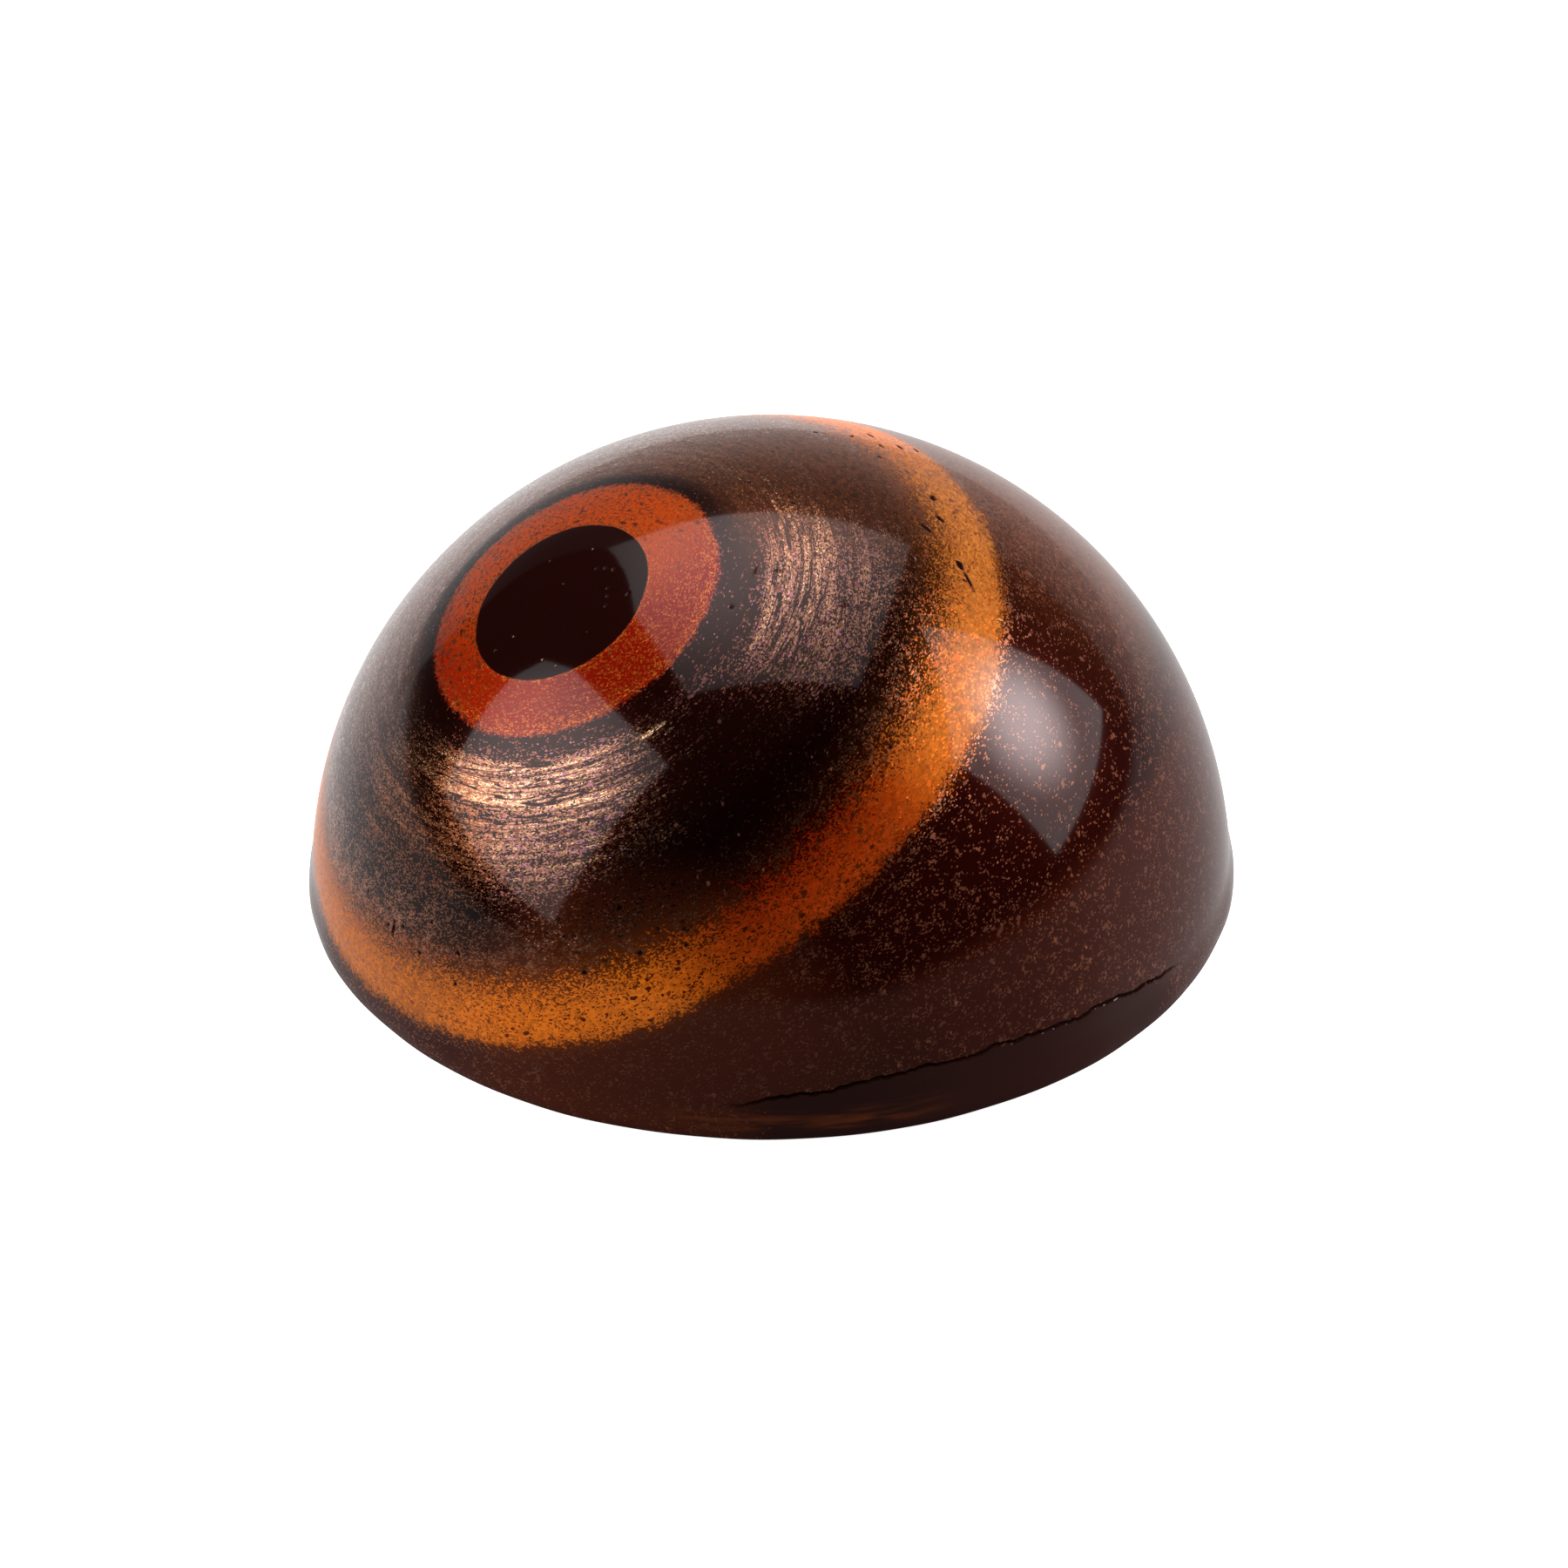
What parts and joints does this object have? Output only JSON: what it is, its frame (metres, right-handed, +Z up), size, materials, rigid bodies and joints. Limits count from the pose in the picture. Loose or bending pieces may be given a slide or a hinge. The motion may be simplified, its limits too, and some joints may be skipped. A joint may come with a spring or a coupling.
{
  "type": "chocolate praline",
  "caption": "Moulded dark chocolate praline: a glossy half dome on a flat foot, painted with tilted copper, bronze and orange-gold rings round a dark eye.",
  "frame": {"origin": "centre of the flat foot, on the surface that the praline stands on", "axes": "+Z up, from the flat foot to the top of the dome; -Y towards the viewer; the painted eye faces up and to -X"},
  "size_m": [0.0302, 0.0302, 0.015],
  "materials": {
    "chocolate_shell": "high gloss dark chocolate with copper, bronze and orange-gold mica paint"
  },
  "bodies": {
    "root": {"praline": "chocolate_shell"}
  },
  "joints": []
}
